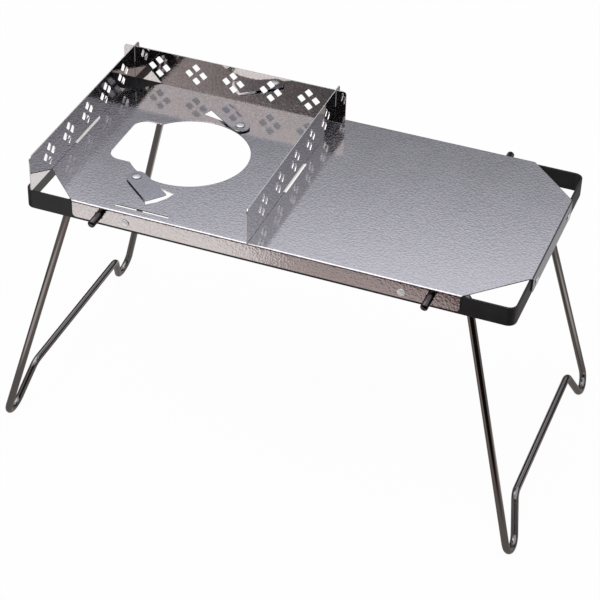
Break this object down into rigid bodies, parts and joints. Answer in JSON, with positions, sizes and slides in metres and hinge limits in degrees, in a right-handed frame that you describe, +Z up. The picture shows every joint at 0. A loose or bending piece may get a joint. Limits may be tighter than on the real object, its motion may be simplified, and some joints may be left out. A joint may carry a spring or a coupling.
{
  "type": "camping stove table",
  "caption": "Folding camping stove table: bent sheet top with a burner hole, lift-off windscreen plates, swivel plates, flat bar frame and folding wire legs.",
  "frame": {"origin": "on the ground, under the middle of the table top", "axes": "+Z up, +X along the length towards the plain worktop end, +Y towards the back windscreen"},
  "size_m": [0.4436, 0.2404, 0.255],
  "materials": {
    "embossed_stainless": "embossed sheet, satin",
    "bright_stainless": "bright sheet, near mirror",
    "rivet_steel": "bright",
    "chromed_wire": "bright plated",
    "black_steel": "satin black"
  },
  "bodies": {
    "table": {"table_top": "embossed_stainless", "frame_ring": "black_steel", "swivel_washer_front": "rivet_steel", "swivel_washer_back": "rivet_steel", "swivel_rivet_front": "rivet_steel", "swivel_rivet_back": "rivet_steel", "frame_rivet_front_left": "rivet_steel", "frame_rivet_front_right": "rivet_steel", "frame_rivet_back_left": "rivet_steel", "frame_rivet_back_right": "rivet_steel", "frame_rivet_left_front": "rivet_steel", "frame_rivet_left_back": "rivet_steel", "frame_rivet_right_front": "rivet_steel", "frame_rivet_right_back": "rivet_steel"},
    "left_leg": {"left_leg": "chromed_wire"},
    "right_leg": {"right_leg": "chromed_wire"},
    "windscreen_back": {"windscreen_back": "bright_stainless"},
    "windscreen_left": {"windscreen_left": "bright_stainless"},
    "windscreen_right": {"windscreen_right": "bright_stainless"},
    "swivel_plate_front": {"swivel_plate_front": "bright_stainless"},
    "swivel_plate_back": {"swivel_plate_back": "bright_stainless"}
  },
  "joints": [
    {"name": "left_leg_fold", "type": "hinge", "parent": "table", "child": "left_leg", "pos_m": [-0.134, 0, 0.21685], "axis": [0, -1, 0], "range_deg": [0, 108]},
    {"name": "right_leg_fold", "type": "hinge", "parent": "table", "child": "right_leg", "pos_m": [0.134, 0, 0.21685], "axis": [0, 1, 0], "range_deg": [0, 103]},
    {"name": "windscreen_back_lift", "type": "slide", "parent": "table", "child": "windscreen_back", "axis": [0, 0, 1], "range_m": [0, 0.04]},
    {"name": "windscreen_left_lift", "type": "slide", "parent": "windscreen_back", "child": "windscreen_left", "axis": [0, 0, 1], "range_m": [0, 0.04]},
    {"name": "windscreen_right_lift", "type": "slide", "parent": "windscreen_back", "child": "windscreen_right", "axis": [0, 0, 1], "range_m": [0, 0.04]},
    {"name": "swivel_plate_front_turn", "type": "hinge", "parent": "table", "child": "swivel_plate_front", "pos_m": [-0.12389, -0.0512, 0.2261], "axis": [0, 0, 1], "continuous": true},
    {"name": "swivel_plate_back_turn", "type": "hinge", "parent": "table", "child": "swivel_plate_back", "pos_m": [-0.07851, 0.0512, 0.2261], "axis": [0, 0, 1], "continuous": true}
  ]
}
